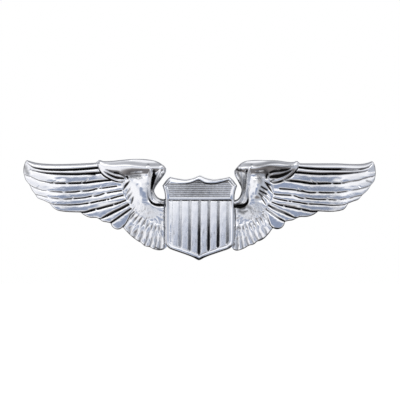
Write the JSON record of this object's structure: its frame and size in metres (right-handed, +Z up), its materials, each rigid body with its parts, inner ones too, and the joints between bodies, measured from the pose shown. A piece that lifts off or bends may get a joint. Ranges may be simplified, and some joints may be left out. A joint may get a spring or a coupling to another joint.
{
  "type": "pilot wings pin",
  "caption": "Silver winged badge with a striped shield at its centre, pinned through cloth by pointed posts held in butterfly clutches.",
  "frame": {"origin": "on the flat back of the wings, at the middle of the shield", "axes": "+Z up as the badge is worn, +X towards the wearer's left, +Y out of the flat back along the posts, so the struck face looks along -Y"},
  "size_m": [0.076, 0.0114, 0.022],
  "materials": {
    "wing_silver": "polished",
    "shield_silver": "polished",
    "post_nickel": "satin",
    "clutch_brass": "polished",
    "spring_steel": "satin"
  },
  "bodies": {
    "badge": {"wing_plate": "wing_silver", "shield": "shield_silver", "post_left": "post_nickel", "post_center": "post_nickel", "post_right": "post_nickel"},
    "clutch_left_slider": {"clutch_left_front_plate": "clutch_brass"},
    "clutch_left_turner": {"clutch_left_shell": "clutch_brass", "clutch_left_spring": "spring_steel"},
    "clutch_left_jaw_a_body": {"clutch_left_jaw_a": "clutch_brass"},
    "clutch_left_jaw_b_body": {"clutch_left_jaw_b": "clutch_brass"},
    "clutch_center_slider": {"clutch_center_front_plate": "clutch_brass"},
    "clutch_center_turner": {"clutch_center_shell": "clutch_brass", "clutch_center_spring": "spring_steel"},
    "clutch_center_jaw_a_body": {"clutch_center_jaw_a": "clutch_brass"},
    "clutch_center_jaw_b_body": {"clutch_center_jaw_b": "clutch_brass"},
    "clutch_right_slider": {"clutch_right_front_plate": "clutch_brass"},
    "clutch_right_turner": {"clutch_right_shell": "clutch_brass", "clutch_right_spring": "spring_steel"},
    "clutch_right_jaw_a_body": {"clutch_right_jaw_a": "clutch_brass"},
    "clutch_right_jaw_b_body": {"clutch_right_jaw_b": "clutch_brass"}
  },
  "joints": [
    {"name": "clutch_left_pull_off", "type": "slide", "parent": "badge", "child": "clutch_left_slider", "axis": [0, 1, 0], "range_m": [0, 0.0065]},
    {"name": "clutch_left_spin", "type": "hinge", "parent": "clutch_left_slider", "child": "clutch_left_turner", "pos_m": [-0.0205, 0.0023, 0.0041], "axis": [0, 1, 0], "continuous": true},
    {"name": "clutch_left_squeeze_a", "type": "hinge", "parent": "clutch_left_turner", "child": "clutch_left_jaw_a_body", "pos_m": [-0.01895, 0.0052, 0.0041], "axis": [0, 0, 1], "range_deg": [0, 12], "stiffness_Nm_per_rad": 0.01},
    {"name": "clutch_left_squeeze_b", "type": "hinge", "parent": "clutch_left_turner", "child": "clutch_left_jaw_b_body", "pos_m": [-0.02205, 0.0052, 0.0041], "axis": [0, 0, -1], "range_deg": [0, 12], "stiffness_Nm_per_rad": 0.01},
    {"name": "clutch_center_pull_off", "type": "slide", "parent": "badge", "child": "clutch_center_slider", "axis": [0, 1, 0], "range_m": [0, 0.0065]},
    {"name": "clutch_center_spin", "type": "hinge", "parent": "clutch_center_slider", "child": "clutch_center_turner", "pos_m": [0, 0.0023, -0.0042], "axis": [0, 1, 0], "continuous": true},
    {"name": "clutch_center_squeeze_a", "type": "hinge", "parent": "clutch_center_turner", "child": "clutch_center_jaw_a_body", "pos_m": [0.00155, 0.0052, -0.0042], "axis": [0, 0, 1], "range_deg": [0, 12], "stiffness_Nm_per_rad": 0.01},
    {"name": "clutch_center_squeeze_b", "type": "hinge", "parent": "clutch_center_turner", "child": "clutch_center_jaw_b_body", "pos_m": [-0.00155, 0.0052, -0.0042], "axis": [0, 0, -1], "range_deg": [0, 12], "stiffness_Nm_per_rad": 0.01},
    {"name": "clutch_right_pull_off", "type": "slide", "parent": "badge", "child": "clutch_right_slider", "axis": [0, 1, 0], "range_m": [0, 0.0065]},
    {"name": "clutch_right_spin", "type": "hinge", "parent": "clutch_right_slider", "child": "clutch_right_turner", "pos_m": [0.0205, 0.0023, 0.0041], "axis": [0, 1, 0], "continuous": true},
    {"name": "clutch_right_squeeze_a", "type": "hinge", "parent": "clutch_right_turner", "child": "clutch_right_jaw_a_body", "pos_m": [0.02205, 0.0052, 0.0041], "axis": [0, 0, 1], "range_deg": [0, 12], "stiffness_Nm_per_rad": 0.01},
    {"name": "clutch_right_squeeze_b", "type": "hinge", "parent": "clutch_right_turner", "child": "clutch_right_jaw_b_body", "pos_m": [0.01895, 0.0052, 0.0041], "axis": [0, 0, -1], "range_deg": [0, 12], "stiffness_Nm_per_rad": 0.01}
  ]
}
